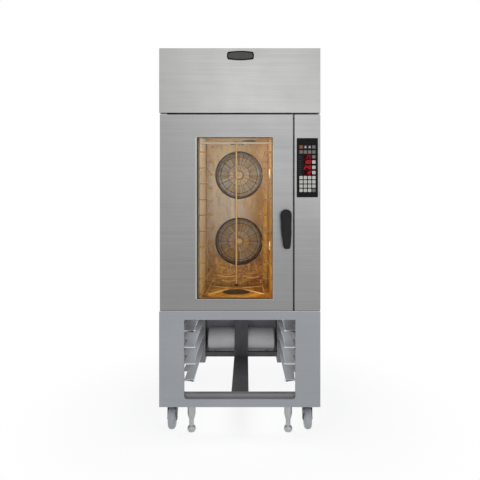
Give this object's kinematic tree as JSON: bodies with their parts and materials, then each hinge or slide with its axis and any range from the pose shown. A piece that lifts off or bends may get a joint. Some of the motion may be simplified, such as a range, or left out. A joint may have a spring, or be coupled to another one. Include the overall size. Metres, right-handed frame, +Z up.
{
  "type": "combi oven",
  "caption": "Free-standing combi oven with a glazed side-hung door, lever handle, key panel, extraction hood and a castor stand with tray runners and a water tank.",
  "frame": {"origin": "on the floor, under the middle of the whole oven's outer box", "axes": "+X to the right seen from the front, +Y to the back, +Z up"},
  "size_m": [0.904, 1.02, 2.222],
  "materials": {
    "stand_steel": "satin stainless sheet",
    "dark_steel": "dark grey painted steel",
    "tank_steel": "brushed stainless steel",
    "foot_steel": "satin stainless steel",
    "castor_zinc": "zinc plated steel",
    "castor_grey": "grey moulded castor tread",
    "body_steel": "horizontally brushed stainless sheet",
    "door_steel": "horizontally brushed stainless sheet",
    "hood_steel": "horizontally brushed stainless sheet",
    "trim_steel": "bright stainless strip",
    "hinge_steel": "machined stainless steel",
    "chamber_steel": "stainless sheet warmed by use",
    "fan_steel": "stainless sheet warmed by use",
    "heater_steel": "oxidised heater tube",
    "bright_wire": "polished stainless wire",
    "gasket_rubber": "black silicone",
    "motor_paint": "grey paint",
    "lamp_glass": "clear heat-proof glass",
    "wool": "mineral wool",
    "brass_fitting": "turned brass",
    "black_plastic": "black nylon",
    "handle_black": "matt black moulding",
    "badge_metal": "dark enamelled plate with a raised rim",
    "panel_black": "black membrane overlay",
    "key_white": "embossed light key fields",
    "display_red": "red display windows",
    "board_green": "circuit board",
    "door_glass": "clear toughened glass"
  },
  "bodies": {
    "root": {"stand_front_frame": "stand_steel", "rear_columns": "stand_steel", "stand_tubes": "stand_steel", "floor_channel": "dark_steel", "rear_strap": "dark_steel", "tray_runners": "stand_steel", "stand_back_panel": "dark_steel", "water_tank": "tank_steel", "tank_cradles": "dark_steel", "foot_sleeves": "foot_steel", "castor_plates": "castor_zinc", "base_pan": "body_steel", "side_panel_left": "body_steel", "side_panel_right": "body_steel", "back_panel": "body_steel", "roof_panel": "body_steel", "front_frame": "body_steel", "control_column": "body_steel", "cavity": "chamber_steel", "door_gasket": "gasket_rubber", "fan_baffle": "chamber_steel", "fan_guards": "bright_wire", "fan_motors": "motor_paint", "heating_elements": "heater_steel", "tray_rack_left": "bright_wire", "tray_rack_right": "bright_wire", "spray_pipe": "bright_wire", "oven_lamps": "lamp_glass", "insulation": "wool", "drain_duct": "chamber_steel", "water_inlet": "brass_fitting", "power_gland": "black_plastic", "hood_shell": "hood_steel", "exhaust_duct": "hood_steel", "badge": "badge_metal", "control_panel": "panel_black", "control_keys": "key_white", "displays": "display_red", "control_board": "board_green", "hinge_brackets": "hinge_steel", "door_catch": "hinge_steel"},
    "door": {"door_outer_skin": "door_steel", "door_inner_frame": "door_steel", "door_glass_outer": "door_glass", "door_glass_inner": "door_glass", "window_frame": "trim_steel"},
    "handle_lever": {"handle": "handle_black", "latch_spindle": "hinge_steel"},
    "upper_fan": {"fan_wheel_upper": "fan_steel"},
    "lower_fan": {"fan_wheel_lower": "fan_steel"},
    "left_foot": {"foot_left": "foot_steel"},
    "right_foot": {"foot_right": "foot_steel"},
    "castor_front_left": {"castor_fork_front_left": "castor_zinc"},
    "wheel_front_left": {"castor_wheel_front_left": "castor_grey"},
    "castor_front_right": {"castor_fork_front_right": "castor_zinc"},
    "wheel_front_right": {"castor_wheel_front_right": "castor_grey"},
    "castor_rear_left": {"castor_fork_rear_left": "castor_zinc"},
    "wheel_rear_left": {"castor_wheel_rear_left": "castor_grey"},
    "castor_rear_right": {"castor_fork_rear_right": "castor_zinc"},
    "wheel_rear_right": {"castor_wheel_rear_right": "castor_grey"}
  },
  "joints": [
    {"name": "door_hinge", "type": "hinge", "parent": "root", "child": "door", "pos_m": [-0.428, -0.427, 1.24], "axis": [0, 0, -1], "range_deg": [0, 120]},
    {"name": "handle_turn", "type": "hinge", "parent": "door", "child": "handle_lever", "pos_m": [0.257, -0.454, 1.227], "axis": [0, 1, 0], "range_deg": [0, 90]},
    {"name": "upper_fan_spin", "type": "hinge", "parent": "root", "child": "upper_fan", "pos_m": [-0.014, 0.294, 1.501], "axis": [0, 1, 0], "continuous": true},
    {"name": "lower_fan_spin", "type": "hinge", "parent": "root", "child": "lower_fan", "pos_m": [-0.014, 0.294, 1.033], "axis": [0, 1, 0], "continuous": true},
    {"name": "left_foot_height", "type": "slide", "parent": "root", "child": "left_foot", "axis": [0, 0, 1], "range_m": [-0.02, 0.03]},
    {"name": "right_foot_height", "type": "slide", "parent": "root", "child": "right_foot", "axis": [0, 0, 1], "range_m": [-0.02, 0.03]},
    {"name": "castor_swivel_front_left", "type": "hinge", "parent": "root", "child": "castor_front_left", "pos_m": [-0.388, -0.356, 0.15], "axis": [0, 0, 1], "continuous": true},
    {"name": "castor_roll_front_left", "type": "hinge", "parent": "castor_front_left", "child": "wheel_front_left", "pos_m": [-0.388, -0.384, 0.0625], "axis": [1, 0, 0], "continuous": true},
    {"name": "castor_swivel_front_right", "type": "hinge", "parent": "root", "child": "castor_front_right", "pos_m": [0.388, -0.356, 0.15], "axis": [0, 0, 1], "continuous": true},
    {"name": "castor_roll_front_right", "type": "hinge", "parent": "castor_front_right", "child": "wheel_front_right", "pos_m": [0.388, -0.384, 0.0625], "axis": [1, 0, 0], "continuous": true},
    {"name": "castor_swivel_rear_left", "type": "hinge", "parent": "root", "child": "castor_rear_left", "pos_m": [-0.372, 0.424, 0.15], "axis": [0, 0, 1], "continuous": true},
    {"name": "castor_roll_rear_left", "type": "hinge", "parent": "castor_rear_left", "child": "wheel_rear_left", "pos_m": [-0.372, 0.396, 0.0625], "axis": [1, 0, 0], "continuous": true},
    {"name": "castor_swivel_rear_right", "type": "hinge", "parent": "root", "child": "castor_rear_right", "pos_m": [0.372, 0.424, 0.15], "axis": [0, 0, 1], "continuous": true},
    {"name": "castor_roll_rear_right", "type": "hinge", "parent": "castor_rear_right", "child": "wheel_rear_right", "pos_m": [0.372, 0.396, 0.0625], "axis": [1, 0, 0], "continuous": true}
  ]
}
